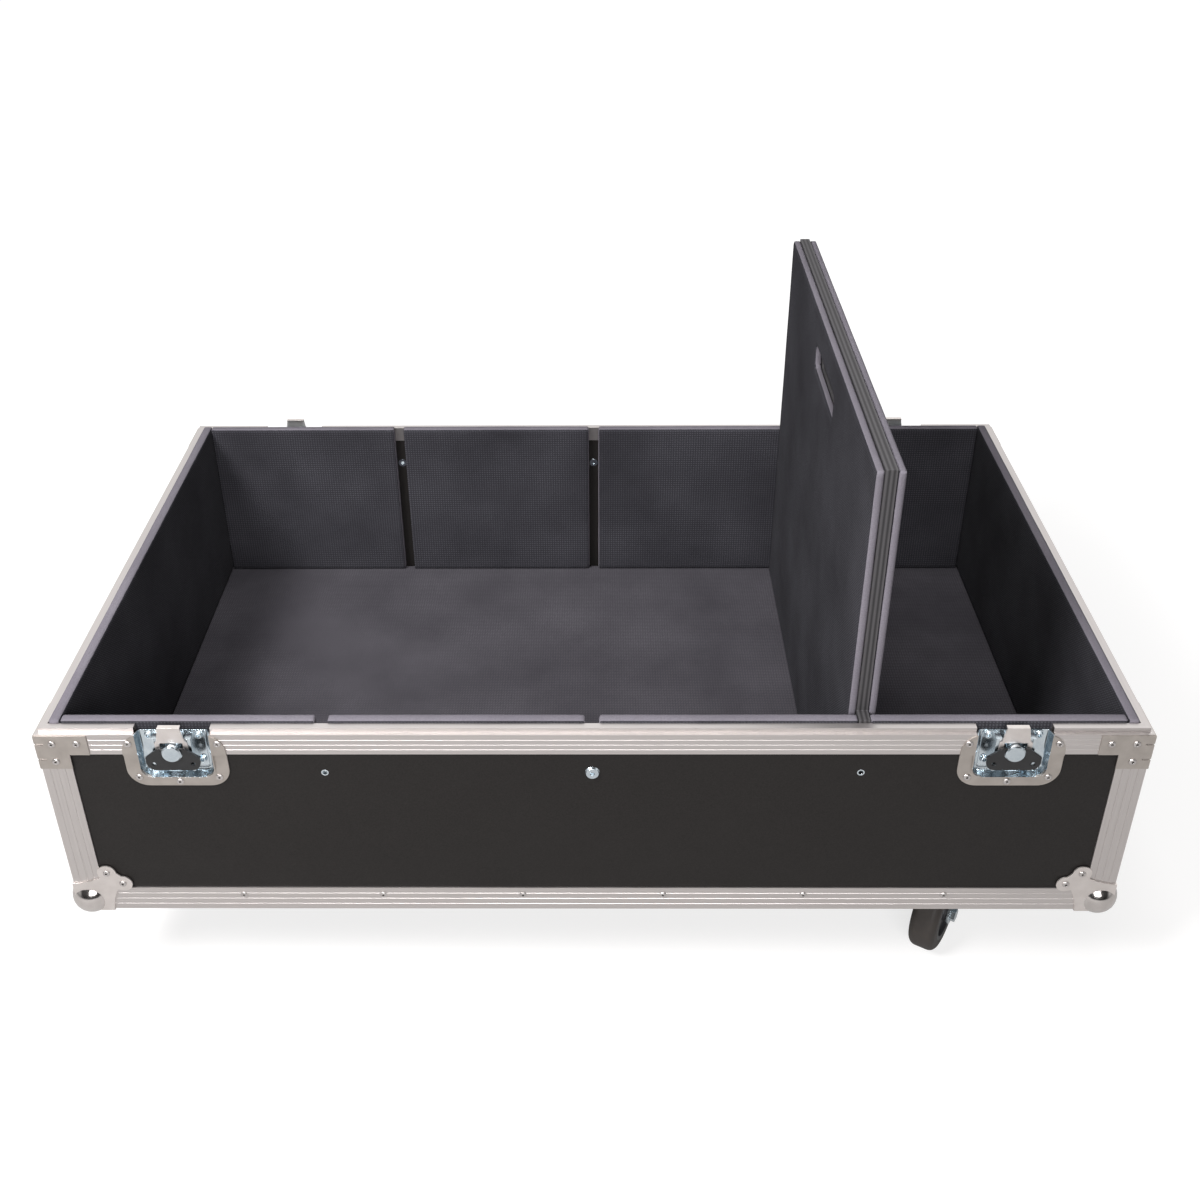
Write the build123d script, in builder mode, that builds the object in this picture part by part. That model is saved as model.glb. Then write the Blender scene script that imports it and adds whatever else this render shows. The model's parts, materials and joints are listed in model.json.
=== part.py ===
from build123d import *

import os
from math import cos, radians, sin, tan

# The tray half of a speaker flight case, in millimetres.
# X runs along the case, Y from its front face to its rear face, and Z up from the floor.
# The origin lies on the floor that the wheels stand on, under the middle of the tray.

# Tray
case_length = 1150.0
case_width = 692.0
tray_height = 255.5  # underside of the base edges to the top of the tongue

# Wooden panels and the aluminium edge sections that hold them
panel_thickness = 9.0
section_wall = 1.5
edge_leg = 32.0
groove_depth = 0.4
groove_width = 0.9
tongue_width = 8.0
tongue_height = 5.5
rim_outer_leg = 31.5  # below the top of the tongue
rim_inner_leg = 20.5
rim_groove_drops = (12.6, 19.0, 25.2)  # below the top of the tongue
edge_groove_steps = (8.0, 16.0, 24.0)  # across a leg, from its outer corner

# Foam lining
wall_foam_thickness = 14.0
floor_foam_thickness = 10.0
foam_proud = 3.5  # of the top of the tongue
slot_offset = 280.0  # of the two outer pairs of divider slots from the middle
slot_width = 13.0

# Divider
board_thickness = 12.0
divider_foam_thickness = 9.0
divider_rise = 285.0  # of its foam above the tongue
board_proud = 2.0  # of its foam
board_ear_rise = 3.0  # of the ears above the tongue
divider_end_gap = 29.0  # from the case's outer face to the foam's end
divider_hole_length = 140.0
divider_hole_height = 28.0
divider_hole_rise = 229.0  # of its centre above the tongue
divider_hole_corner = 5.6
divider_play = 0.5

# Threaded inserts at the slots, and the two screws in the middle ones
insert_bore_radius = 2.5
insert_barrel_radius = 4.0
insert_flange_radius = 6.0
insert_flange_thickness = 1.0
insert_drop = 57.5  # below the top of the tongue
screw_head_radius = 8.0
screw_head_height = 2.2
screw_head_taper = 35.0
screw_play = 0.1

# Rivets
rivet_head_radius = 4.0
rivet_head_height = 1.6
rivet_dimple_radius = 1.2
rivet_crown = (3.2, 1.1)  # a point on its dome, outwards and up
rivet_shank_radius = 2.0
rivet_shank_length = 5.0
rivet_play = 0.1
base_rivet_rise = 21.7  # above the underside
long_side_rivets = 6
short_side_rivets = 3
base_rivet_pitch = 155.3

# Plates on the four top corners
plate_thickness = 1.2
plate_arm = 54.0
plate_arm_height = 25.0
plate_leg = 33.0
plate_drop = 50.0  # of its lower end below the tongue
plate_top_gap = 1.0  # below the shoulder
plate_rivet_near = 17.0
plate_rivet_far = 42.6
plate_rivet_low = 40.4
plate_slit_length = 8.0
plate_slit_width = 2.0
plate_slit_drops = (17.5, 37.5)

# Ball corners at the base
ball_radius = 22.5
ball_inset = 13.0  # of its centre from each outer face
ball_steel = 1.5
ball_lobe_near = 39.6
ball_lobe_far = 55.1
ball_lobe_radius = 10.5
ball_foot = 39.0  # where its flange leaves the edge
ball_waist = 8.9  # how far a lobe's flank meets the flange's waist beyond the lobe's middle
ball_waist_dip = 2.5  # of the flange's curved side, past its foot
ball_waist_reach = 14.3

# Latches in dishes, two on each long side
latch_inset = 142.0  # of each latch's middle from the case's end
latch_sheet = 1.2
dish_width = 107.5
dish_drop = 74.0
dish_corner_radius = 22.0
dish_crank_length = 3.0
pan_width = 76.0
pan_depth = 9.0
pan_drop = 61.0
pan_wall_lean = 14.0  # degrees
pan_corner_radius = 8.0
pan_floor_radius = 3.5
pan_play = 0.3
dish_rivet_side = 46.3
dish_rivet_top_drop = 16.7
dish_rivet_low_side = 42.2
dish_rivet_low_drop = 62.5
dish_rivet_mid_drop = 68.2

# Latch mechanism. Its depths are measured inwards from the case's outer face, so what stands out is negative.
base_plate_width = 63.0
base_plate_top_drop = 6.0
base_plate_bottom_drop = 54.5
base_plate_corner = 4.5
base_pad_side = 26.0
base_pad_top_drop = 11.0
base_pad_low_drop = 43.0
base_pad_radius = 5.0
base_pad_hole_radius = 2.0
base_pad_height = 3.5
base_pad_taper = 20.0
rail_width = 3.0
rail_depth = -4.0
rail_top_drop = 8.0
rail_bottom_drop = 50.0
ledge_width = 3.0
ledge_depth = -2.9
hook_depth = -3.2
hook_thickness = 1.8
hook_fork_width = 34.0
hook_fork_gap = 24.0
hook_bar_drop = 12.5
hook_leg_drop = 46.0
hook_neck_width = 29.0
hook_top_width = 23.0
hook_top_rise = 7.0  # above the tongue, with the latch shut
hook_lip_length = 3.7
hook_play = 0.3
knob_drop = 23.5
knob_radius = 10.3
knob_stand_out = 10.5  # in front of the case's outer face
knob_back_depth = 7.0
knob_stub_radius = 4.0
knob_play = 0.1
knob_edge = 1.2
wing_depth = -5.8
wing_thickness = 2.5
wing_half_width = 28.0
wing_reach = 22.1
wing_shoulder = 5.5
wing_shoulder_radius = 5.0
wing_ear = 3.2
wing_corner_radius = 10.0
wing_hole_radius = 2.4
wing_hole_side = 20.0
wing_hole_reach = 14.0
wing_axis_rise = 4.8  # of its pins above the middle of the knob
wing_gap = 0.35
wing_swing_gap = 0.4  # past the edge of the knob's face, as the wing swings out over it
wing_pin_radius = 1.0
wing_pin_length = 3.6

# Swivel casters
caster_height = 128.0
caster_inset_x = 150.0
caster_inset_y = 106.5
caster_trail = 36.0
caster_turns = {"front_left": 86.0, "front_right": 239.0, "rear_left": 118.0, "rear_right": 58.0}
mount_plate_length = 100.0
mount_plate_width = 85.0
mount_plate_thickness = 2.5
mount_plate_corner = 6.0
bolt_pitch_x = 80.0
bolt_pitch_y = 60.0
bolt_radius = 3.0
bolt_play = 0.1
bolt_head_radius = 6.5
bolt_head_height = 4.5
bolt_grip = 7.0
race_radius = 25.0
race_height = 5.5
kingpin_radius = 6.0
kingpin_head_radius = 10.0
kingpin_head_height = 4.0
swivel_gap = 0.3
bearing_play = 0.1
crown_radius = 32.0
crown_thickness = 4.0
fork_gap = 36.0
fork_wall = 3.0
fork_toe_radius = 13.0
fork_back = 20.0
fork_front = 24.0
wheel_radius = 50.0
wheel_width = 32.0
tyre_depth = 15.0
tyre_shoulder = 9.0
hub_width = 34.0
hub_recess = 5.0
hub_rim = 5.0
hub_boss_radius = 11.0
axle_radius = 5.0
axle_head_radius = 8.5
axle_head_height = 5.5
nut_height = 8.0
nut_play = 0.1

# Levels and insets that follow from the sizes above
half_length = case_length / 2
half_width = case_width / 2
underside_z = caster_height - section_wall
rim_top = underside_z + tray_height
shoulder_z = rim_top - tongue_height
wall_top = shoulder_z - section_wall
floor_top = caster_height + panel_thickness
floor_foam_top = floor_top + floor_foam_thickness
foam_top = rim_top + foam_proud
foam_step_z = rim_top - rim_inner_leg
wall_inner = section_wall + panel_thickness
leg_inner = wall_inner + section_wall
lining_inner = wall_inner + wall_foam_thickness
edge_top = underside_z + edge_leg
slot_centres = (-slot_offset, 0.0, slot_offset)
pan_back = pan_depth + latch_sheet
pan_cut_side = pan_width / 2 + latch_sheet + pan_play
pan_cut_drop = pan_drop + latch_sheet + pan_play
crank_drop = rim_outer_leg
axle_z = wheel_radius
rivet_hole_radius = rivet_shank_radius + rivet_play


class Side:
    """One long or short side of the case: its start corner, the way inwards and the way along it."""

    def __init__(self, corner, inward, run, length):
        self.corner, self.inward, self.run, self.length = Vector(*corner), inward, run, length

    def section(self, z):
        """The plane of a section through this side: inwards, then up."""
        return Plane((self.corner.X, self.corner.Y, z), x_dir=self.inward, z_dir=self.run)

    def face(self, along, z):
        """The plane of this side's outer face: along the side, then up, with its normal outwards."""
        point = self.corner + Vector(*self.run) * along
        return Plane((point.X, point.Y, z), x_dir=self.run, z_dir=-Vector(*self.inward))

    def mitres(self):
        """The two mitre planes, facing the middle of the side."""
        run, inward = Vector(*self.run), Vector(*self.inward)
        far_corner = self.corner + run * self.length
        return Plane(self.corner, z_dir=run - inward), Plane(far_corner, z_dir=-run - inward)


sides = {
    "front": Side((-half_length, -half_width), (0, 1, 0), (1, 0, 0), case_length),
    "right": Side((half_length, -half_width), (-1, 0, 0), (0, 1, 0), case_width),
    "rear": Side((half_length, half_width), (0, -1, 0), (-1, 0, 0), case_length),
    "left": Side((-half_length, half_width), (1, 0, 0), (0, -1, 0), case_width),
}
latches = {
    "front_left": sides["front"].face(latch_inset, rim_top),
    "front_right": sides["front"].face(case_length - latch_inset, rim_top),
    "rear_right": sides["rear"].face(latch_inset, rim_top),
    "rear_left": sides["rear"].face(case_length - latch_inset, rim_top),
}


def write(part, name):
    """Labels a finished piece and writes its STEP file."""
    part.label = name
    export_step(part, f"parts/{name}.step")


def section_plane(face):
    """The plane across a latch: outwards, then up."""
    return Plane(face.origin, x_dir=face.z_dir, z_dir=-face.x_dir)


def mirrored_quarters(part):
    """The piece of the front left corner and its three mirror images."""
    front_right = mirror(part, about=Plane.YZ)
    return [part, front_right, mirror(part, about=Plane.XZ), mirror(front_right, about=Plane.XZ)]


# Rivet seats: each is a plane on the surface under the head, with its normal outwards
def base_rivet_seats(side, count):
    first = (side.length - (count - 1) * base_rivet_pitch) / 2
    height = underside_z + base_rivet_rise
    return [side.face(first + step * base_rivet_pitch, height) for step in range(count)]


def plate_rivet_seats(side):
    near, far, low = plate_rivet_near, plate_rivet_far, plate_rivet_low
    places = ((near, near), (far, near), (near, low))
    seats = []
    for along, drop in places:
        seats.append(side.face(along, rim_top - drop).offset(plate_thickness))
        seats.append(side.face(side.length - along, rim_top - drop).offset(plate_thickness))
    return seats


def ball_rivet_seats(side):
    seats = []
    for along, rise in ((ball_lobe_near, ball_lobe_far), (ball_lobe_far, ball_lobe_near)):
        seats.append(side.face(along, underside_z + rise).offset(ball_steel))
        seats.append(side.face(side.length - along, underside_z + rise).offset(ball_steel))
    return seats


def ball_underside_seats():
    seats = []
    for x, y in ((ball_lobe_near, ball_lobe_far), (ball_lobe_far, ball_lobe_near)):
        for side_x in (-1, 1):
            for side_y in (-1, 1):
                place = (side_x * (half_length - x), side_y * (half_width - y), underside_z - ball_steel)
                seats.append(Plane(place, z_dir=(0, 0, -1)))
    return seats


def dish_rivet_seats(face):
    low_level = latch_sheet - section_wall
    places = (
        (-dish_rivet_side, dish_rivet_top_drop, latch_sheet),
        (dish_rivet_side, dish_rivet_top_drop, latch_sheet),
        (-dish_rivet_low_side, dish_rivet_low_drop, low_level),
        (dish_rivet_low_side, dish_rivet_low_drop, low_level),
        (0.0, dish_rivet_mid_drop, low_level),
    )
    return [
        Plane(face.from_local_coords((x, -drop, level)), x_dir=face.x_dir, z_dir=face.z_dir)
        for x, drop, level in places
    ]


def side_rivet_seats(name):
    side = sides[name]
    count = long_side_rivets if name in ("front", "rear") else short_side_rivets
    seats = base_rivet_seats(side, count) + plate_rivet_seats(side) + ball_rivet_seats(side)
    for latch_name, face in latches.items():
        if latch_name.startswith(name):
            seats += dish_rivet_seats(face)
    return seats


rivet_seats = [seat for name in sides for seat in side_rivet_seats(name)] + ball_underside_seats()


def seat_locations(seats):
    return [Location(seat) for seat in seats]


# Edge sections
def grooved_leg(start, along, outward, steps):
    """Corner points of small V grooves cut into a leg's outer face at the given steps along it."""
    points = []
    for step in steps:
        for shift, depth in ((-groove_width / 2, 0), (0, groove_depth), (groove_width / 2, 0)):
            points.append(Vector(*start) + Vector(*along) * (step + shift) - Vector(*outward) * depth)
    return [(point.X, point.Y) for point in points]


def edge_outline():
    """An equal angle with grooves in both outer faces, drawn inwards and up from its outer corner."""
    upright = grooved_leg((0, 0), (0, 1), (-1, 0), edge_groove_steps)
    flat = grooved_leg((0, 0), (1, 0), (0, -1), edge_groove_steps)
    inner = [(edge_leg, 0), (edge_leg, section_wall), (section_wall, section_wall), (section_wall, edge_leg)]
    return [(0, 0)] + flat + inner + [(0, edge_leg)] + list(reversed(upright))


def rim_outline():
    """The tongued rim section, drawn inwards and up from the top of its tongue."""
    tongue_outer = leg_inner - tongue_width
    face = grooved_leg((0, 0), (0, -1), (-1, 0), rim_groove_drops)
    tongue = [
        (0, -tongue_height),
        (tongue_outer, -tongue_height),
        (tongue_outer, 0),
        (leg_inner, 0),
        (leg_inner, -rim_inner_leg),
        (wall_inner, -rim_inner_leg),
        (wall_inner, -section_wall),
        (tongue_outer + section_wall, -section_wall),
        (tongue_outer + section_wall, -tongue_height - section_wall),
        (section_wall, -tongue_height - section_wall),
        (section_wall, -rim_outer_leg),
        (0, -rim_outer_leg),
    ]
    return tongue + list(reversed(face))


def rim(name):
    side = sides[name]
    with BuildPart() as piece:
        with BuildSketch(side.section(rim_top)):
            with BuildLine():
                Polyline(*rim_outline(), close=True)
            make_face()
        extrude(amount=side.length)
        for mitre in side.mitres():
            split(bisect_by=mitre, keep=Keep.TOP)
        for latch_name, face in latches.items():
            if latch_name.startswith(name):
                with BuildSketch(face.offset(-leg_inner)):
                    Rectangle(2 * pan_cut_side, 2 * dish_drop)
                extrude(amount=2 * leg_inner, mode=Mode.SUBTRACT)
        with Locations(*seat_locations(side_rivet_seats(name))):
            Hole(rivet_hole_radius, depth=rivet_shank_length + latch_sheet)
    return piece


def corner_relief():
    """Clears the four base corners, where the balls of the ball corners sit."""
    for side_x in (-1, 1):
        for side_y in (-1, 1):
            place = (side_x * (half_length - ball_inset / 2), side_y * (half_width - ball_inset / 2))
            with Locations((*place, underside_z + ball_inset / 2)):
                Box(ball_inset, ball_inset, ball_inset, mode=Mode.SUBTRACT)


def base_edge(name):
    side = sides[name]
    with BuildPart() as piece:
        with BuildSketch(side.section(underside_z)):
            with BuildLine():
                Polyline(*edge_outline(), close=True)
            make_face()
        extrude(amount=side.length)
        for mitre in side.mitres():
            split(bisect_by=mitre, keep=Keep.TOP)
        corner_relief()
        with Locations(*seat_locations(side_rivet_seats(name) + ball_underside_seats())):
            Hole(rivet_hole_radius, depth=rivet_shank_length + ball_steel)
    return piece


def upright_edge():
    """The upright angle at the front left corner, from the base edge to the rim."""
    with BuildPart() as piece:
        with BuildSketch(Plane((-half_length, -half_width, edge_top))):
            with BuildLine():
                Polyline(*edge_outline(), close=True)
            make_face()
        extrude(amount=rim_top - rim_outer_leg - edge_top)
        with Locations(*seat_locations(rivet_seats)):
            Hole(rivet_hole_radius, depth=rivet_shank_length + ball_steel)
    return piece


# Panels
def bottom_panel():
    with BuildPart() as piece:
        with BuildSketch(Plane.XY.offset(caster_height)):
            Rectangle(case_length - 2 * section_wall, case_width - 2 * section_wall)
        extrude(amount=panel_thickness)
        corner_relief()
        with Locations(*seat_locations(ball_underside_seats())):
            Hole(rivet_hole_radius, depth=rivet_shank_length + ball_steel)
        for centre in caster_centres.values():
            with BuildSketch(Plane((*centre, caster_height))):
                with GridLocations(bolt_pitch_x, bolt_pitch_y, 2, 2):
                    Circle(bolt_radius + bolt_play)
            extrude(amount=bolt_grip, mode=Mode.SUBTRACT)
    return piece


def long_panel(name):
    """The front or rear wall, with its latch cut-outs and insert holes."""
    side = sides[name]
    with BuildPart() as piece:
        with BuildSketch(side.section(floor_top)):
            with Locations((section_wall + panel_thickness / 2, (wall_top - floor_top) / 2)):
                Rectangle(panel_thickness, wall_top - floor_top)
        extrude(amount=side.length - section_wall)
        split(bisect_by=Plane(side.corner, z_dir=side.run).offset(section_wall), keep=Keep.TOP)
        corner_relief()
        for latch_name, face in latches.items():
            if latch_name.startswith(name):
                with BuildSketch(face.offset(-lining_inner)):
                    Rectangle(2 * pan_cut_side, 2 * pan_cut_drop)
                extrude(amount=lining_inner, mode=Mode.SUBTRACT)
        with Locations(*seat_locations(insert_planes(side))):
            Hole(insert_barrel_radius, depth=wall_inner)
        with Locations(*seat_locations(side_rivet_seats(name))):
            Hole(rivet_hole_radius, depth=rivet_shank_length + ball_steel)
    return piece


def end_panel(name):
    """The left or right wall, which fits between the long walls."""
    side = sides[name]
    with BuildPart() as piece:
        with BuildSketch(side.section(floor_top)):
            with Locations((section_wall + panel_thickness / 2, (wall_top - floor_top) / 2)):
                Rectangle(panel_thickness, wall_top - floor_top)
        extrude(amount=side.length - wall_inner)
        split(bisect_by=Plane(side.corner, z_dir=side.run).offset(wall_inner), keep=Keep.TOP)
        corner_relief()
        with Locations(*seat_locations(side_rivet_seats(name))):
            Hole(rivet_hole_radius, depth=rivet_shank_length + ball_steel)
    return piece


def insert_planes(side):
    """The outer end of each threaded insert on a long side."""
    return [side.face(half_length + x, rim_top - insert_drop) for x in slot_centres]


def wall_inserts():
    barrel_length = panel_thickness
    for side in (sides["front"], sides["rear"]):
        for plane in insert_planes(side):
            with BuildPart() as piece:
                with BuildSketch(plane.offset(-wall_inner)):
                    Circle(insert_barrel_radius)
                extrude(amount=barrel_length)
                with BuildSketch(plane.offset(-wall_inner - insert_flange_thickness)):
                    Circle(insert_flange_radius)
                extrude(amount=insert_flange_thickness)
                with BuildSketch(plane):
                    Circle(insert_bore_radius)
                extrude(amount=-wall_inner - insert_flange_thickness, mode=Mode.SUBTRACT)
            yield piece.part


def centre_screws():
    """Flanged screws in the two middle inserts."""
    for side in (sides["front"], sides["rear"]):
        plane = side.face(half_length, rim_top - insert_drop)
        seat = plane.offset(-section_wall)
        with BuildPart() as piece:
            with BuildSketch(seat):
                Circle(screw_head_radius)
            extrude(amount=screw_head_height, taper=screw_head_taper)
            with BuildSketch(seat):
                Circle(insert_bore_radius - screw_play)
            extrude(amount=-panel_thickness)
            with BuildSketch(seat.offset(screw_head_height)):
                RegularPolygon(insert_bore_radius, 6)
            extrude(amount=-screw_head_height, mode=Mode.SUBTRACT)
        yield piece.part


def rivets():
    with BuildPart() as sample:
        with BuildSketch(Plane.XZ):
            with BuildLine():
                Polyline(
                    (0, -rivet_shank_length),
                    (rivet_shank_radius, -rivet_shank_length),
                    (rivet_shank_radius, 0),
                    (rivet_head_radius, 0),
                )
                ThreePointArc((rivet_head_radius, 0), rivet_crown, (rivet_dimple_radius, rivet_head_height))
                Line((rivet_dimple_radius, rivet_head_height), (rivet_dimple_radius, 0))
                Line((rivet_dimple_radius, 0), (0, 0))
                Line((0, 0), (0, -rivet_shank_length))
            make_face()
        revolve(axis=Axis.Z)
    return [sample.part.moved(Location(seat)) for seat in rivet_seats]


# Foam
def foam_block(low, high, step_low, step_high):
    """A lining pad from one corner to the other, stepped back above the rim's inner leg."""
    with BuildPart() as piece:
        for (x0, y0), (x1, y1), z0, z1 in (
            (low, high, floor_foam_top, foam_step_z),
            (step_low, step_high, foam_step_z, foam_top),
        ):
            with BuildSketch(Plane.XY.offset(z0)):
                with Locations(((x0 + x1) / 2, (y0 + y1) / 2)):
                    Rectangle(x1 - x0, y1 - y0)
            extrude(amount=z1 - z0)
    return piece.part


def end_foam(sign):
    outer, inner, step = half_length - wall_inner, half_length - lining_inner, half_length - leg_inner
    reach, step_reach = half_width - wall_inner, half_width - leg_inner
    ends, step_ends = sorted((sign * outer, sign * inner)), sorted((sign * step, sign * inner))
    return foam_block(
        (ends[0], -reach), (ends[1], reach), (step_ends[0], -step_reach), (step_ends[1], step_reach)
    )


def long_foam_pads(sign):
    """The four pads of one long wall, with a slot between neighbours."""
    limit = half_length - lining_inner
    half_slot = slot_width / 2
    starts = [-limit] + [x + half_slot for x in slot_centres]
    ends = [x - half_slot for x in slot_centres] + [limit]
    across = sorted((sign * (half_width - wall_inner), sign * (half_width - lining_inner)))
    step = sorted((sign * (half_width - leg_inner), sign * (half_width - lining_inner)))
    for start, end in zip(starts, ends):
        yield foam_block((start, across[0]), (end, across[1]), (start, step[0]), (end, step[1]))


def floor_foam():
    with BuildPart() as piece:
        with BuildSketch(Plane.XY.offset(floor_top)):
            Rectangle(case_length - 2 * wall_inner, case_width - 2 * wall_inner)
        extrude(amount=floor_foam_thickness)
    return piece


# Divider
board_bottom = floor_foam_top
ear_reach = half_width - leg_inner - divider_play
divider_reach = half_width - divider_end_gap
divider_top = rim_top + divider_rise


def divider_hole(x):
    """The outline of the hand hole in the plane at x."""
    with BuildSketch(Plane((x, 0, rim_top + divider_hole_rise), x_dir=(0, 1, 0), z_dir=(1, 0, 0))) as hole:
        RectangleRounded(divider_hole_length, divider_hole_height, divider_hole_corner)
    return hole.sketch


def divider_board():
    """The plywood core, with an ear at each end that runs in a slot."""
    left = slot_offset - board_thickness / 2
    ear_top = rim_top + board_ear_rise
    top = divider_top + board_proud
    with BuildPart() as piece:
        with BuildSketch(Plane((left, 0, 0), x_dir=(0, 1, 0), z_dir=(1, 0, 0))):
            with Locations((0, (board_bottom + ear_top) / 2)):
                Rectangle(2 * ear_reach, ear_top - board_bottom)
            with Locations((0, (board_bottom + top) / 2)):
                Rectangle(2 * divider_reach, top - board_bottom)
        extrude(amount=board_thickness)
        extrude(divider_hole(left), amount=board_thickness, mode=Mode.SUBTRACT)
    return piece


def divider_foam(sign):
    near = slot_offset + sign * board_thickness / 2
    left = near if sign > 0 else near - divider_foam_thickness
    with BuildPart() as piece:
        with BuildSketch(Plane((left, 0, 0), x_dir=(0, 1, 0), z_dir=(1, 0, 0))):
            with Locations((0, (board_bottom + divider_top) / 2)):
                Rectangle(2 * divider_reach, divider_top - board_bottom)
        extrude(amount=divider_foam_thickness)
        extrude(divider_hole(left), amount=divider_foam_thickness, mode=Mode.SUBTRACT)
    return piece


# Corner hardware
def top_corner_plate():
    """The riveted plate folded round the front left top corner, over the rim and the upright angle."""
    top = -tongue_height - plate_top_gap
    with BuildPart() as piece:
        for name, direction in (("front", 1), ("left", -1)):
            side = sides[name]
            start = 0 if direction > 0 else side.length
            with BuildSketch(side.face(start, rim_top)):
                outer = -direction * plate_thickness
                with BuildLine():
                    Polyline(
                        (outer, top),
                        (direction * plate_arm, top),
                        (direction * plate_arm, top - plate_arm_height),
                        (direction * plate_leg, top - plate_arm_height),
                        (direction * plate_leg, -plate_drop),
                        (outer, -plate_drop),
                        close=True,
                    )
                make_face()
            extrude(amount=plate_thickness)
        for drop in plate_slit_drops:
            with Locations((-half_length, -half_width, rim_top - drop)):
                Box(2 * plate_slit_length, 2 * plate_slit_length, plate_slit_width, mode=Mode.SUBTRACT)
        with Locations(*seat_locations(rivet_seats)):
            Hole(rivet_hole_radius, depth=plate_thickness)
    return piece


def ball_leaf(plane):
    """The outline of one leaf of a ball corner, drawn from the case's corner on the given face."""
    near, far, lobe = ball_lobe_near, ball_lobe_far, ball_lobe_radius
    waist, flank = ball_foot + ball_waist, near - ball_waist
    dip, reach = ball_foot + ball_waist_dip, ball_waist_reach
    edge = -ball_steel
    with BuildSketch(plane) as leaf:
        with BuildLine():
            Line((edge, edge), (ball_foot, edge))
            ThreePointArc((ball_foot, edge), (dip, reach), (waist, flank))
            Line((waist, flank), (far, near - lobe))
            ThreePointArc((far, near - lobe), (far + lobe, near), (far, near + lobe))
            Line((far, near + lobe), (near + lobe, far))
            ThreePointArc((near + lobe, far), (near, far + lobe), (near - lobe, far))
            Line((near - lobe, far), (flank, waist))
            ThreePointArc((flank, waist), (reach, dip), (edge, ball_foot))
            Line((edge, ball_foot), (edge, edge))
        make_face()
    return leaf.sketch


def ball_corner():
    """The pressed steel ball corner at the front left of the base: three leaves that run into a ball."""
    corner = Vector(-half_length, -half_width, underside_z)
    centre = corner + Vector(ball_inset, ball_inset, ball_inset)
    outer_corner = corner - Vector(ball_steel, ball_steel, ball_steel)
    ball_share = ball_inset + ball_steel
    behind = 2 * ball_foot
    towards_middle = (Align.MIN, Align.MIN, Align.MIN)
    with BuildPart() as piece:
        extrude(ball_leaf(Plane(corner, x_dir=(1, 0, 0), z_dir=(0, -1, 0))), amount=ball_steel)
        extrude(ball_leaf(Plane(corner, x_dir=(0, 0, 1), z_dir=(-1, 0, 0))), amount=ball_steel)
        extrude(ball_leaf(Plane(corner, x_dir=(0, 1, 0), z_dir=(0, 0, -1))), amount=ball_steel)
        with Locations(outer_corner):
            Box(ball_share, ball_share, ball_share, align=towards_middle, mode=Mode.SUBTRACT)
        with Locations(centre):
            Sphere(ball_radius)
            Sphere(ball_radius - ball_steel, mode=Mode.SUBTRACT)
        for shift in ((ball_inset, 0, 0), (0, ball_inset, 0), (0, 0, ball_inset)):
            with Locations(corner + Vector(*shift)):
                Box(behind, behind, behind, align=towards_middle, mode=Mode.SUBTRACT)
        with Locations(*seat_locations(rivet_seats)):
            Hole(rivet_hole_radius, depth=ball_steel)
    return piece


# Latches
def pan_block(face, spare, depth):
    """The room in a latch's pan with leaning walls and a rounded floor, grown by the spare on every side."""
    growth = depth * tan(radians(pan_wall_lean))
    with BuildPart() as block:
        with BuildSketch(face.offset(-depth)):
            side, drop = pan_width / 2 + spare - growth, pan_drop + spare - growth
            RectangleRounded(2 * side, 2 * drop, pan_corner_radius)
        extrude(amount=depth + latch_sheet, taper=-pan_wall_lean)
        floor_edges = block.faces().sort_by(Axis(face.origin, face.z_dir))[0].edges()
        fillet(floor_edges, pan_floor_radius + spare)
    return block.part


def latch_dish(face):
    """The pressed dish: a cranked flange round three sides of an open-topped pan."""
    low = latch_sheet - section_wall
    top = -tongue_height
    with BuildPart() as piece:
        with BuildSketch(section_plane(face)):
            with BuildLine():
                Polyline(
                    (0, top),
                    (latch_sheet, top),
                    (latch_sheet, -crank_drop),
                    (low, -crank_drop - dish_crank_length),
                    (low, -dish_drop),
                    (-section_wall, -dish_drop),
                    (-section_wall, -crank_drop - dish_crank_length),
                    (-section_wall, -crank_drop),
                    (0, -crank_drop),
                    close=True,
                )
            make_face()
        extrude(amount=dish_width / 2, both=True)
        with BuildSketch(face.offset(-section_wall)):
            with Locations((0, (top - dish_drop) / 2)):
                outline = Rectangle(dish_width, dish_drop + top)
            fillet(outline.vertices().group_by(Axis(face.origin, (0, 0, 1)))[0], dish_corner_radius)
        extrude(amount=section_wall + latch_sheet, mode=Mode.INTERSECT)
        add(pan_block(face, latch_sheet, pan_back))
        add(pan_block(face, 0, pan_depth), mode=Mode.SUBTRACT)
        split(bisect_by=Plane(face.from_local_coords((0, top, 0)), z_dir=(0, 0, -1)), keep=Keep.TOP)
        with Locations(*seat_locations(dish_rivet_seats(face))):
            Hole(rivet_hole_radius, depth=2 * latch_sheet)
    return piece


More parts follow.
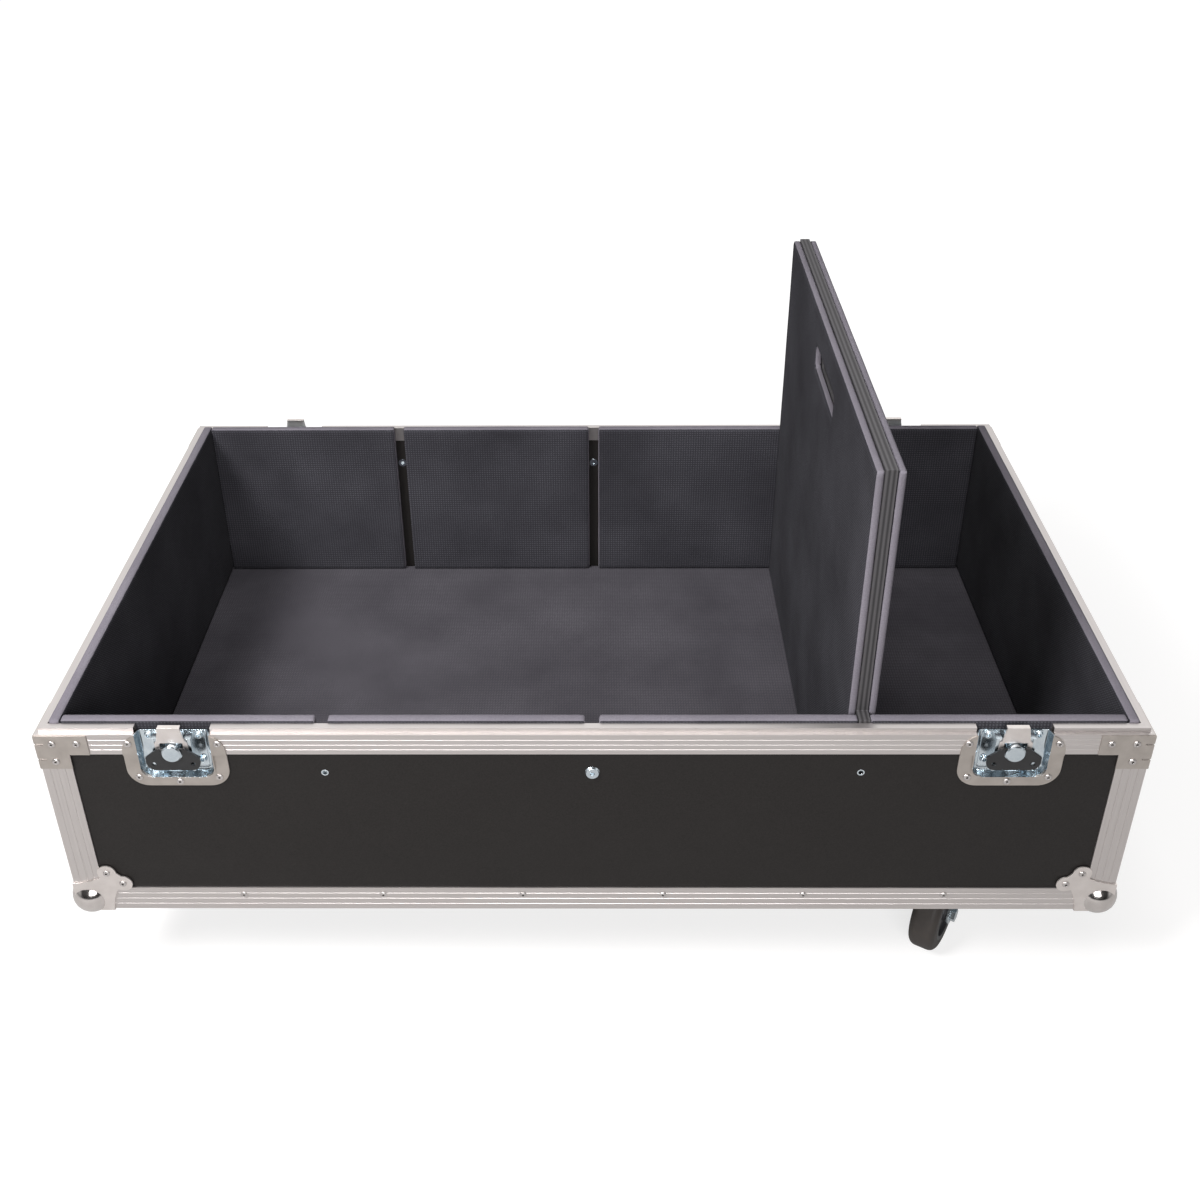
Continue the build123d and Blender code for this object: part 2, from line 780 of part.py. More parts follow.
def latch_base(face):
    """The mechanism's base plate on the pan's floor, with a rail and a ledge each side of the hook."""
    height = base_plate_bottom_drop - base_plate_top_drop
    rail_height = rail_bottom_drop - rail_top_drop
    rail_side = hook_fork_width / 2 + hook_play + rail_width / 2
    ledge_side = hook_fork_width / 2 + hook_play - ledge_width / 2
    strips = ((rail_side, rail_width, rail_depth), (ledge_side, ledge_width, ledge_depth))
    floor = face.offset(-pan_depth)
    with BuildPart() as piece:
        with BuildSketch(floor):
            with Locations((0, -(base_plate_top_drop + base_plate_bottom_drop) / 2)):
                RectangleRounded(base_plate_width, height, base_plate_corner)
        extrude(amount=latch_sheet)
        for across, width, depth in strips:
            with BuildSketch(floor):
                with Locations((0, -(rail_top_drop + rail_bottom_drop) / 2)):
                    with GridLocations(2 * across, 0, 2, 1):
                        Rectangle(width, rail_height)
            extrude(amount=pan_depth - depth)
        pad_height = latch_sheet + base_pad_height
        for drop in (base_pad_top_drop, base_pad_low_drop):
            with BuildSketch(floor):
                with Locations((-base_pad_side, -drop), (base_pad_side, -drop)):
                    Circle(base_pad_radius)
            extrude(amount=pad_height, taper=base_pad_taper)
            with BuildSketch(floor.offset(latch_sheet)):
                with Locations((-base_pad_side, -drop), (base_pad_side, -drop)):
                    Circle(base_pad_hole_radius)
            extrude(amount=base_pad_height, mode=Mode.SUBTRACT)
        with BuildSketch(floor):
            with Locations((0, -knob_drop)):
                Circle(knob_stub_radius + knob_play)
        extrude(amount=latch_sheet, mode=Mode.SUBTRACT)
    return piece


def latch_hook(face):
    """The forked hook plate, which straddles the knob and has a lip at its top for the lid's catch."""
    layer = face.offset(-hook_depth)
    half_fork, half_gap = hook_fork_width / 2, hook_fork_gap / 2
    half_neck, half_top = hook_neck_width / 2, hook_top_width / 2
    neck_drop = hook_bar_drop - (half_fork - half_neck)
    with BuildPart() as piece:
        with BuildSketch(layer):
            with BuildLine():
                Polyline(
                    (-half_fork, -hook_leg_drop),
                    (-half_gap, -hook_leg_drop),
                    (-half_gap, -hook_bar_drop),
                    (half_gap, -hook_bar_drop),
                    (half_gap, -hook_leg_drop),
                    (half_fork, -hook_leg_drop),
                    (half_fork, -hook_bar_drop),
                    (half_neck, -neck_drop),
                    (half_top, hook_top_rise),
                    (-half_top, hook_top_rise),
                    (-half_neck, -neck_drop),
                    (-half_fork, -hook_bar_drop),
                    close=True,
                )
            make_face()
        extrude(amount=hook_thickness)
        with BuildSketch(layer):
            with Locations((0, hook_top_rise - hook_thickness / 2)):
                Rectangle(hook_top_width, hook_thickness)
        extrude(amount=-hook_lip_length)
    return piece


def latch_knob(face):
    """The round knob, its stub in the base plate, and a blind hole each side for the wing's pins."""
    back = face.offset(-knob_back_depth)
    axis_depth = wing_depth - wing_thickness / 2
    with BuildPart() as piece:
        with BuildSketch(back):
            with Locations((0, -knob_drop)):
                Circle(knob_radius)
        extrude(amount=knob_back_depth + knob_stand_out)
        chamfer(piece.edges().group_by(Axis(face.origin, face.z_dir))[-1], knob_edge)
        with BuildSketch(back):
            with Locations((0, -knob_drop)):
                Circle(knob_stub_radius)
        extrude(amount=-(pan_depth - knob_back_depth - knob_play))
        for side in (-1, 1):
            place = face.from_local_coords((side * knob_radius, wing_axis_rise - knob_drop, -axis_depth))
            with BuildSketch(Plane(place, z_dir=face.x_dir * side)):
                Circle(wing_pin_radius + knob_play)
            extrude(amount=-wing_pin_length - wing_gap, mode=Mode.SUBTRACT)
    return piece


def wing_notch():
    """The round-ended notch in a wing round its knob, wide enough for the wing to swing out."""
    swing = knob_stand_out + wing_depth - wing_thickness / 2
    radius = ((knob_radius + wing_axis_rise) ** 2 + swing**2) ** 0.5 - wing_axis_rise + wing_swing_gap
    width = 2 * (knob_radius + wing_gap)
    with BuildSketch() as notch:
        Circle(radius)
        Rectangle(width, 2 * radius, mode=Mode.INTERSECT)
        with Locations((0, radius / 2)):
            Rectangle(width, radius)
    return notch.sketch


def latch_wing(face):
    """The black folding wing round the knob, drawn about the knob's middle as it hangs."""
    layer = Plane(face.from_local_coords((0, -knob_drop, -wing_depth)), x_dir=face.x_dir, z_dir=face.z_dir)
    ear_side = knob_radius + wing_gap + wing_ear
    top = wing_axis_rise + wing_thickness / 2
    with BuildPart() as piece:
        with BuildSketch(layer):
            with BuildLine():
                Polyline(
                    (-ear_side, top),
                    (ear_side, top),
                    (wing_half_width, -wing_shoulder),
                    (wing_half_width, -wing_reach),
                    (-wing_half_width, -wing_reach),
                    (-wing_half_width, -wing_shoulder),
                    close=True,
                )
            outline = make_face()
            low_corners, shoulders = outline.vertices().group_by(Axis.Y)[:2]
            fillet(low_corners, wing_corner_radius)
            fillet(shoulders, wing_shoulder_radius)
            add(wing_notch(), mode=Mode.SUBTRACT)
            with Locations((-wing_hole_side, -wing_hole_reach), (wing_hole_side, -wing_hole_reach)):
                Circle(wing_hole_radius, mode=Mode.SUBTRACT)
        extrude(amount=wing_thickness)
        for side in (-1, 1):
            pin_side = side * (ear_side - wing_ear / 2)
            pin_end = layer.from_local_coords((pin_side, wing_axis_rise, wing_thickness / 2))
            with BuildSketch(Plane(pin_end, z_dir=layer.x_dir * -side)):
                Circle(wing_pin_radius)
            extrude(amount=wing_ear / 2 + wing_pin_length)
    return piece


# Casters
caster_centres = {
    "front_left": (-half_length + caster_inset_x, -half_width + caster_inset_y),
    "front_right": (half_length - caster_inset_x, -half_width + caster_inset_y),
    "rear_left": (-half_length + caster_inset_x, half_width - caster_inset_y),
    "rear_right": (half_length - caster_inset_x, half_width - caster_inset_y),
}
race_bottom = caster_height - mount_plate_thickness - race_height
crown_top = race_bottom - swivel_gap
crown_bottom = crown_top - crown_thickness
kingpin_head_top = crown_bottom - swivel_gap


def caster_frame(name):
    """The directions of a caster's trail and of its axle."""
    turn = radians(caster_turns[name])
    return Vector(cos(turn), sin(turn), 0), Vector(-sin(turn), cos(turn), 0)


def wheel_centre(name):
    trail, axle = caster_frame(name)
    return Vector(*caster_centres[name], axle_z) + trail * caster_trail


def caster_plate(name):
    """The mounting plate with its bearing race and riveted kingpin."""
    centre = caster_centres[name]
    with BuildPart() as piece:
        with BuildSketch(Plane((*centre, caster_height - mount_plate_thickness))):
            RectangleRounded(mount_plate_length, mount_plate_width, mount_plate_corner)
            with GridLocations(bolt_pitch_x, bolt_pitch_y, 2, 2):
                Circle(bolt_radius + bolt_play, mode=Mode.SUBTRACT)
        extrude(amount=mount_plate_thickness)
        with BuildSketch(Plane((*centre, race_bottom))):
            Circle(race_radius)
        extrude(amount=race_height)
        with BuildSketch(Plane((*centre, kingpin_head_top))):
            Circle(kingpin_radius)
        extrude(amount=race_bottom - kingpin_head_top)
        with BuildSketch(Plane((*centre, kingpin_head_top - kingpin_head_height))):
            Circle(kingpin_head_radius)
        extrude(amount=kingpin_head_height)
    return piece


def caster_bolts():
    """The mounting bolts of every caster, through its plate and up into the bottom panel."""
    seat_z = caster_height - mount_plate_thickness
    for centre in caster_centres.values():
        with BuildPart() as bolts:
            with BuildSketch(Plane((*centre, seat_z - bolt_head_height))):
                with GridLocations(bolt_pitch_x, bolt_pitch_y, 2, 2):
                    RegularPolygon(bolt_head_radius, 6)
            extrude(amount=bolt_head_height)
            with BuildSketch(Plane((*centre, seat_z))):
                with GridLocations(bolt_pitch_x, bolt_pitch_y, 2, 2):
                    Circle(bolt_radius)
            extrude(amount=mount_plate_thickness + bolt_grip - bolt_play)
        yield from bolts.part.solids()


def caster_fork(name):
    centre = caster_centres[name]
    trail, axle = caster_frame(name)
    with BuildPart() as piece:
        with BuildSketch(Plane((*centre, crown_bottom))):
            Circle(crown_radius)
        extrude(amount=crown_thickness)
        for side in (-1, 1):
            inner = Vector(*centre, 0) + axle * (side * fork_gap / 2)
            with BuildSketch(Plane(inner, x_dir=trail, z_dir=-axle)):
                with BuildLine():
                    Polyline(
                        (-fork_back, crown_top - crown_thickness / 2),
                        (fork_front, crown_top - crown_thickness / 2),
                        (caster_trail + fork_toe_radius, axle_z),
                        (caster_trail - fork_toe_radius, axle_z),
                        close=True,
                    )
                make_face()
                with Locations((caster_trail, axle_z)):
                    Circle(fork_toe_radius)
                    Circle(axle_radius + bearing_play, mode=Mode.SUBTRACT)
            extrude(amount=-side * fork_wall)
        with BuildSketch(Plane((*centre, crown_bottom))):
            Circle(kingpin_radius + bearing_play)
        extrude(amount=crown_thickness, mode=Mode.SUBTRACT)
    return piece


def wheel_section(name):
    """The plane through a wheel's axle: along the axle, then up."""
    trail, axle = caster_frame(name)
    return Plane(wheel_centre(name), x_dir=axle, z_dir=trail)


def caster_tyre(name):
    axle = caster_frame(name)[1]
    inner = wheel_radius - tyre_depth
    half = wheel_width / 2
    with BuildPart() as piece:
        with BuildSketch(wheel_section(name)):
            with Locations((0, (inner + wheel_radius) / 2)):
                tread = Rectangle(2 * half, tyre_depth)
            fillet(tread.vertices().sort_by(Axis.Y)[-2:], tyre_shoulder)
        revolve(axis=Axis(wheel_centre(name), axle))
    return piece


def caster_hub(name):
    axle = caster_frame(name)[1]
    rim_radius = wheel_radius - tyre_depth
    half = wheel_width / 2
    web = half - hub_recess
    with BuildPart() as piece:
        with BuildSketch(wheel_section(name)):
            with BuildLine():
                Polyline(
                    (-half, rim_radius),
                    (half, rim_radius),
                    (half, rim_radius - hub_rim),
                    (web, rim_radius - hub_rim),
                    (web, hub_boss_radius),
                    (hub_width / 2, hub_boss_radius),
                    (hub_width / 2, axle_radius + bearing_play),
                    (-hub_width / 2, axle_radius + bearing_play),
                    (-hub_width / 2, hub_boss_radius),
                    (-web, hub_boss_radius),
                    (-web, rim_radius - hub_rim),
                    (-half, rim_radius - hub_rim),
                    close=True,
                )
            make_face()
        revolve(axis=Axis(wheel_centre(name), axle))
    return piece


def caster_axle(name):
    """The hexagon-headed axle bolt and its nut."""
    axle = caster_frame(name)[1]
    outside = fork_gap / 2 + fork_wall
    centre = wheel_centre(name)
    thread_end = outside + nut_height + nut_play
    with BuildPart() as bolt:
        with BuildSketch(Plane(centre + axle * outside, z_dir=axle)):
            RegularPolygon(axle_head_radius, 6)
        extrude(amount=axle_head_height)
        with BuildSketch(Plane(centre + axle * outside, z_dir=axle)):
            Circle(axle_radius)
        extrude(amount=-outside - thread_end)
    with BuildPart() as nut:
        with BuildSketch(Plane(centre - axle * outside, z_dir=-axle)):
            RegularPolygon(axle_head_radius, 6)
            Circle(axle_radius + nut_play, mode=Mode.SUBTRACT)
        extrude(amount=nut_height)
    return [bolt.part, nut.part]


# Everything is written out, one file for each named piece
os.makedirs("parts", exist_ok=True)

write(bottom_panel().part, "bottom_panel")
write(long_panel("front").part, "front_panel")
write(long_panel("rear").part, "rear_panel")
write(end_panel("left").part, "left_panel")
write(end_panel("right").part, "right_panel")
for side_name in sides:
    write(rim(side_name).part, f"rim_{side_name}")
    write(base_edge(side_name).part, f"base_edge_{side_name}")
write(Compound(mirrored_quarters(upright_edge().part)), "upright_edges")
write(Compound(mirrored_quarters(top_corner_plate().part)), "top_corner_plates")
write(Compound(mirrored_quarters(ball_corner().part)), "ball_corners")
write(Compound(rivets()), "rivets")
write(Compound(list(wall_inserts())), "wall_inserts")
write(Compound(list(centre_screws())), "centre_screws")

write(floor_foam().part, "floor_foam")
write(end_foam(-1), "left_foam")
write(end_foam(1), "right_foam")
write(Compound(list(long_foam_pads(-1))), "front_foam_pads")
write(Compound(list(long_foam_pads(1))), "rear_foam_pads")

write(divider_board().part, "divider_board")
write(divider_foam(-1).part, "divider_foam_left")
write(divider_foam(1).part, "divider_foam_right")

for latch_name, latch in latches.items():
    write(latch_hook(latch).part, f"latch_hook_{latch_name}")
    write(latch_knob(latch).part, f"latch_knob_{latch_name}")
    write(latch_wing(latch).part, f"latch_wing_{latch_name}")
write(Compound([latch_dish(latch).part for latch in latches.values()]), "latch_dishes")
write(Compound([latch_base(latch).part for latch in latches.values()]), "latch_base_plates")

write(Compound([caster_plate(caster_name).part for caster_name in caster_centres]), "caster_plates")
write(Compound(list(caster_bolts())), "caster_bolts")
for caster_name in caster_centres:
    write(caster_fork(caster_name).part, f"caster_fork_{caster_name}")
    write(caster_tyre(caster_name).part, f"caster_tyre_{caster_name}")
    write(caster_hub(caster_name).part, f"caster_hub_{caster_name}")
    write(Compound(caster_axle(caster_name)), f"caster_axle_{caster_name}")
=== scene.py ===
# %% [markdown]
# # The tray of a speaker flight case
# A road case is built like a box inside a metal skeleton: black laminated plywood, aluminium edge sections
# riveted over every edge, pressed steel corners, and foam glued inside. This lesson dresses a CAD model of
# the lower half of one. The CAD model fixes every size and place, so each step only decides how a surface
# looks, or makes a finer mesh for a piece whose CAD solid is too plain.

# %% The frame
import json
import math

import bmesh
import bpy
import numpy as np
from mathutils import Matrix, Vector


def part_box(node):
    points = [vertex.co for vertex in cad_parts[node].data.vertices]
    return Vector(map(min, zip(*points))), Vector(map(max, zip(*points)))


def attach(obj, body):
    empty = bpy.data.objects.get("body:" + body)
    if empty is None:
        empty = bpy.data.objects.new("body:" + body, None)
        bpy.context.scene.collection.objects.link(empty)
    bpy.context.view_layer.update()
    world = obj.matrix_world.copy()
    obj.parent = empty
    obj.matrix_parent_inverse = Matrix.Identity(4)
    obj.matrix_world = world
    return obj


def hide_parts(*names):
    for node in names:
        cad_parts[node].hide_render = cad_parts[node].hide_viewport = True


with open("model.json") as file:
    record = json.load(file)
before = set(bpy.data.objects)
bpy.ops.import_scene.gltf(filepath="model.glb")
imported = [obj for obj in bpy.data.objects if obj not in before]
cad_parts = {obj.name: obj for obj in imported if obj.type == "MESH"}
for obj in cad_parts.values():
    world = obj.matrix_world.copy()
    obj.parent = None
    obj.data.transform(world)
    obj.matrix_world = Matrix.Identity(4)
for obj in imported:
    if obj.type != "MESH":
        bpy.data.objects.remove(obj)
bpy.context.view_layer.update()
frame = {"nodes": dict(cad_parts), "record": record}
MM = 0.001
node_body = {node: body for body, nodes in frame["record"]["behaviour"]["bodies"].items() for node in nodes}

# %% [markdown]
# ## Finishes
# A material starts from what the real one is, and its colour is written the way a paint chart would give it,
# as an sRGB hex value. Blender mixes light in linear values, so one function turns the hex number into those.
# Another adds a node with its settings and its links. Every finish here is then made in the same way: one
# pattern mixes two tones, a pattern raises a fine relief of real depth, and on most of them a pattern also
# runs the roughness between a smoother and a duller value, because no used surface is equally glossy all
# over.

# %% Colour and node helpers
def linear(code):
    """sRGB hex to the linear colour that the shaders use."""
    parts = [int(code[i:i + 2], 16) / 255 for i in (1, 3, 5)]
    return tuple(c / 12.92 if c <= 0.04045 else ((c + 0.055) / 1.055) ** 2.4 for c in parts) + (1.0,)


def add_node(tree, kind, sockets=None, **settings):
    """A node with its settings. Each socket is given a value, or the output that feeds it."""
    made = tree.nodes.new(kind)
    for name, value in settings.items():
        setattr(made, name, value)
    for name, value in (sockets or {}).items():
        if isinstance(value, bpy.types.NodeSocket):
            tree.links.new(value, made.inputs[name])
        else:
            made.inputs[name].default_value = value
    return made


def new_finish(name, roughness, metallic=0.0, gloss=0.5):
    """An empty finish: its tree, its shader and the object's own coordinates."""
    finish = bpy.data.materials.new(name)
    finish.use_nodes = True
    tree = finish.node_tree
    shader = tree.nodes["Principled BSDF"]
    shader.inputs["Roughness"].default_value = roughness
    shader.inputs["Metallic"].default_value = metallic
    shader.inputs["Specular IOR Level"].default_value = gloss
    return finish, tree, shader, add_node(tree, "ShaderNodeTexCoord").outputs["Object"]


def coat(tree, shader, tone, colours, relief, depth_mm, strength, wear=None, roughness=None):
    """Two tones mixed by a 0 to 1 pattern, a relief of real depth, and the wear that runs the roughness."""
    dark, light = colours
    colour = add_node(tree, "ShaderNodeMix", {0: tone, 6: linear(dark), 7: linear(light)}, data_type="RGBA")
    tree.links.new(colour.outputs[2], shader.inputs["Base Color"])
    bump = add_node(tree, "ShaderNodeBump", {
        "Height": relief, "Distance": depth_mm * MM, "Strength": strength})
    tree.links.new(bump.outputs["Normal"], shader.inputs["Normal"])
    if roughness:
        smooth, dull = roughness
        polish = add_node(tree, "ShaderNodeMapRange", {"Value": wear, "To Min": smooth, "To Max": dull})
        tree.links.new(polish.outputs["Result"], shader.inputs["Roughness"])


# %% [markdown]
# ## Laminated plywood
# The panels are plywood faced with black phenolic laminate. It is a dull, slightly warm black with a fine
# pebbled grain of about half a millimetre, drawn here at 1.5 mm so that it shows. Two noises do it: a fine
# one for the grain's relief and a broad one for faint patches where hands and van floors have dulled it. A
# low gloss keeps the white room from greying the black.

# %% Black laminate
def black_laminate():
    finish, tree, shader, place = new_finish("black_phenolic_laminate", 0.55, gloss=0.22)
    grain = add_node(tree, "ShaderNodeTexNoise", {"Vector": place, "Scale": 1 / (1.5 * MM), "Detail": 3.0})
    cloud = add_node(tree, "ShaderNodeTexNoise", {"Vector": place, "Scale": 1 / (90 * MM), "Detail": 4.0})
    fleck = add_node(tree, "ShaderNodeMapRange", {
        "Value": grain.outputs["Fac"], "To Min": -0.2, "To Max": 1.1})
    coat(tree, shader, fleck.outputs["Result"], ("#161413", "#262322"), grain.outputs["Fac"], 0.12, 0.5,
         wear=cloud.outputs["Fac"], roughness=(0.42, 0.68))
    return finish


laminate = black_laminate()
print("made", laminate.name)

# %% [markdown]
# ## Aluminium edge section
# The edges are extruded aluminium with a light satin anodising. Extruding leaves hair-fine lines along the
# length, about a tenth of a millimetre apart, drawn here at 1.2 mm so that they show. The noise is squeezed
# hard along that direction to make them. Each direction of run gets its own finish, because the pattern is
# laid out in the object's coordinates.

# %% Satin aluminium
LINE_STRETCH = 0.012


def satin_aluminium(name, run_axis):
    finish, tree, shader, place = new_finish(name, 0.42, metallic=1.0)
    stretch = [1.0, 1.0, 1.0]
    stretch[run_axis] = LINE_STRETCH
    drawn = add_node(tree, "ShaderNodeMapping", {"Vector": place, "Scale": stretch}).outputs["Vector"]
    lines = add_node(tree, "ShaderNodeTexNoise", {"Vector": drawn, "Scale": 1 / (1.2 * MM), "Detail": 2.0})
    cloud = add_node(tree, "ShaderNodeTexNoise", {"Vector": place, "Scale": 1 / (60 * MM), "Detail": 5.0})
    tone = add_node(tree, "ShaderNodeMapRange", {"Value": lines.outputs["Fac"], "To Min": 0.1, "To Max": 0.9})
    coat(tree, shader, tone.outputs["Result"], ("#bcb6b4", "#d0cbc9"), lines.outputs["Fac"], 0.006, 0.3,
         wear=cloud.outputs["Fac"], roughness=(0.34, 0.52))
    return finish


aluminium_x = satin_aluminium("satin_aluminium_long_runs", 0)
aluminium_y = satin_aluminium("satin_aluminium_end_runs", 1)
aluminium_z = satin_aluminium("satin_aluminium_uprights", 2)
print("made three directions of satin aluminium")

# %% [markdown]
# ## Zinc-plated steel and rivets
# Corners, latches and casters are pressed steel with zinc plating. Fresh plating is bright and a little blue,
# and handling weathers it to a duller, warmer grey. The patches of about 14 mm follow the bath and the hands,
# and the pits of a millimetre are the pressed sheet's own grain. One recipe makes them all: bright zinc for
# the pans and the fasteners, a duller one for the hooks and the corner flanges, a weathered one for the
# corner plates and the latch flanges, and a polished one for the balls. The aluminium rivets follow the same
# recipe. So does the near-black on the mandrel ends in their hollows, which is painted shade for the hole,
# much darker than the steel itself.

# %% Zinc plating
def plated_metal(name, colours, roughness):
    finish, tree, shader, place = new_finish(name, roughness[0], metallic=1.0)
    patches = add_node(tree, "ShaderNodeTexNoise", {"Vector": place, "Scale": 1 / (14 * MM), "Detail": 6.0})
    pits = add_node(tree, "ShaderNodeTexNoise", {"Vector": place, "Scale": 1 / (1.0 * MM), "Detail": 2.0})
    coat(tree, shader, patches.outputs["Fac"], colours, pits.outputs["Fac"], 0.02, 0.3,
         wear=patches.outputs["Fac"], roughness=roughness)
    return finish


bright_zinc = plated_metal("bright_zinc_plated_steel", ("#a9b6bf", "#dfe6ea"), (0.12, 0.3))
dull_zinc = plated_metal("dull_zinc_plated_steel", ("#cdc6c2", "#e6e0dd"), (0.34, 0.5))
plate_zinc = plated_metal("weathered_zinc_plated_steel", ("#a39c96", "#c2bbb5"), (0.4, 0.56))
ball_zinc = plated_metal("polished_ball_zinc", ("#b6b0ad", "#d9d4d1"), (0.1, 0.2))
rivet_metal = plated_metal("rivet_aluminium", ("#b4afac", "#d0cccb"), (0.24, 0.4))
# Near-black for the mandrel ends in the rivets' hollows: painted shade, much darker than the steel is.
mandrel_painted_shade = plated_metal("rivet_mandrel_painted_shade", ("#2c2a29", "#57524f"), (0.35, 0.6))
print("made six plated and riveted metals")

# %% [markdown]
# ## Foam
# The lining is closed-cell polyethylene foam. Its sheets are rolled against a mesh, which leaves fine
# diamonds about 3 mm across, drawn here at 3.5 mm so that they show, while the cut edges are plain and paler.
# Two sets of slanted waves multiplied together make them. Their relief also sets the colour, lighter on the
# crests and darker in the hollows, which is painted shade. Foam scatters light and mirrors nothing, so its
# gloss is zero and its sheen is only a trace. The floor sheet is coloured paler than the walls.

# %% Closed-cell foam
DIAMOND_MM = 3.5


def diamond_relief(tree, place):
    """Diamonds on every side of a slab: waves along the two slants, as seen along each axis."""
    axes = add_node(tree, "ShaderNodeSeparateXYZ", {"Vector": place}).outputs
    flat = add_node(tree, "ShaderNodeMath", {0: axes[0], 1: axes[1]}, operation="ADD").outputs[0]
    rise = add_node(tree, "ShaderNodeMath", {0: axes[2], 1: axes[1]}, operation="ADD").outputs[0]
    waves, turn = [], math.pi / (DIAMOND_MM * MM)
    for slant in ("ADD", "SUBTRACT"):
        way = add_node(tree, "ShaderNodeMath", {0: flat, 1: rise}, operation=slant).outputs[0]
        angle = add_node(tree, "ShaderNodeMath", {0: way, 1: turn}, operation="MULTIPLY")
        waves.append(add_node(tree, "ShaderNodeMath", {0: angle.outputs[0]}, operation="SINE").outputs[0])
    return add_node(tree, "ShaderNodeMath", {0: waves[0], 1: waves[1]}, operation="MULTIPLY").outputs[0]


def closed_cell_foam(name, colours, diamonds=True):
    finish, tree, shader, place = new_finish(name, 0.9, gloss=0.0)
    shader.inputs["Sheen Weight"].default_value = 0.02
    shader.inputs["Sheen Roughness"].default_value = 0.5
    cells = add_node(tree, "ShaderNodeTexNoise", {"Vector": place, "Scale": 1 / (1.6 * MM), "Detail": 4.0})
    cloud = add_node(tree, "ShaderNodeTexNoise", {"Vector": place, "Scale": 1 / (120 * MM), "Detail": 3.0})
    relief = cells.outputs["Fac"]
    if diamonds:
        mesh = add_node(tree, "ShaderNodeMapRange", {"Value": diamond_relief(tree, place), "To Max": 1.1})
        raised = add_node(tree, "ShaderNodeMath", {0: mesh.outputs["Result"], 1: relief}, operation="ADD")
        relief = raised.outputs[0]
    # The tone follows the relief: crests lighter and hollows darker, which is painted shade. The broad cloud
    # is a random tone.
    shade = add_node(tree, "ShaderNodeMath", {0: relief, 1: cloud.outputs["Fac"]}, operation="MULTIPLY")
    coat(tree, shader, shade.outputs[0], colours, relief, 0.35, 0.6)
    return finish


foam_face = closed_cell_foam("rolled_polyethylene_foam", ("#242327", "#55545a"))
floor_face = closed_cell_foam("floor_polyethylene_foam", ("#3a383d", "#68656b"))
foam_cut = closed_cell_foam("cut_polyethylene_foam", ("#66626a", "#99949c"), diamonds=False)
print("made three foams, with diamonds of", DIAMOND_MM, "mm")

# %% [markdown]
# ## Plywood core, paint, rubber and plastic
# The divider's core is black-stained birch plywood, so its edges show the plies as paler lines. Real plies
# are 1.5 mm thick, and are drawn here at 4.7 mm so that they show. The latch wings are steel with black
# powder coat, whose skin is a fine orange peel. The tyres are dark rubber with a brown cast and dust in
# patches, and the hubs are moulded plastic with a fine grain.

# %% The smaller finishes
PLY_MM = 4.712
WAVE_RADIANS = 20


def stained_plywood():
    finish, tree, shader, place = new_finish("stained_birch_plywood", 0.7)
    across = add_node(tree, "ShaderNodeMapping", {"Vector": place, "Scale": (1.0, 0.02, 0.02)})
    plies = add_node(tree, "ShaderNodeTexWave", {
        "Vector": across.outputs["Vector"], "Scale": 2 * math.pi / (WAVE_RADIANS * PLY_MM * MM),
        "Distortion": 1.5}).outputs["Fac"]
    coat(tree, shader, plies, ("#222022", "#4b494b"), plies, 0.1, 0.5)
    return finish


def powder_coat():
    finish, tree, shader, place = new_finish("black_powder_coat", 0.34)
    peel = add_node(tree, "ShaderNodeTexNoise", {"Vector": place, "Scale": 1 / (1.4 * MM), "Detail": 2.0})
    wear = add_node(tree, "ShaderNodeTexNoise", {"Vector": place, "Scale": 1 / (8 * MM), "Detail": 5.0})
    coat(tree, shader, wear.outputs["Fac"], ("#0d0d0e", "#1f1f21"), peel.outputs["Fac"], 0.05, 0.4)
    return finish


def tyre_rubber():
    finish, tree, shader, place = new_finish("brown_black_rubber", 0.62)
    dust = add_node(tree, "ShaderNodeTexNoise", {"Vector": place, "Scale": 1 / (9 * MM), "Detail": 6.0})
    skin = add_node(tree, "ShaderNodeTexNoise", {"Vector": place, "Scale": 1 / (0.9 * MM), "Detail": 2.0})
    coat(tree, shader, dust.outputs["Fac"], ("#231f1d", "#3f3935"), skin.outputs["Fac"], 0.06, 0.4,
         wear=dust.outputs["Fac"], roughness=(0.5, 0.75))
    return finish


def moulded_plastic():
    finish, tree, shader, place = new_finish("grey_moulded_nylon", 0.5)
    grain = add_node(tree, "ShaderNodeTexNoise", {"Vector": place, "Scale": 1 / (1.2 * MM), "Detail": 3.0})
    coat(tree, shader, grain.outputs["Fac"], ("#29292b", "#3a3a3d"), grain.outputs["Fac"], 0.05, 0.4)
    return finish


plywood = stained_plywood()
wing_black = powder_coat()
rubber = tyre_rubber()
nylon = moulded_plastic()
print("finishes:", [m.name for m in bpy.data.materials])

# %% [markdown]
# ## A finer mesh from a CAD node
# A CAD node arrives as loose triangles with razor edges. Real metal and wood always has a small radius, and
# that radius is what catches the light. So each node is copied, its points merged, its flat faces rebuilt,
# and its sharp edges bevelled by a fraction of a millimetre. The copy replaces the node and rides on the same
# body.

# %% Copying, welding and softening
WELD = 0.002 * MM
FLAT_TURN = math.radians(0.5)
CREASE_TURN = math.radians(30)


def merged(node):
    """The mesh of a CAD node with its loose triangles joined at their points."""
    shape = bmesh.new()
    shape.from_mesh(frame["nodes"][node].data)
    bmesh.ops.remove_doubles(shape, verts=shape.verts, dist=WELD)
    return shape


def make_piece(name, shape, finish, body, replaced):
    """Turns a bmesh into a finished piece of the model."""
    mesh = bpy.data.meshes.new(name)
    shape.to_mesh(mesh)
    shape.free()
    mesh.materials.append(finish)
    piece = bpy.data.objects.new(name, mesh)
    bpy.context.scene.collection.objects.link(piece)
    for polygon in mesh.polygons:
        polygon.use_smooth = True
    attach(piece, body)
    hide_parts(replaced)
    return piece


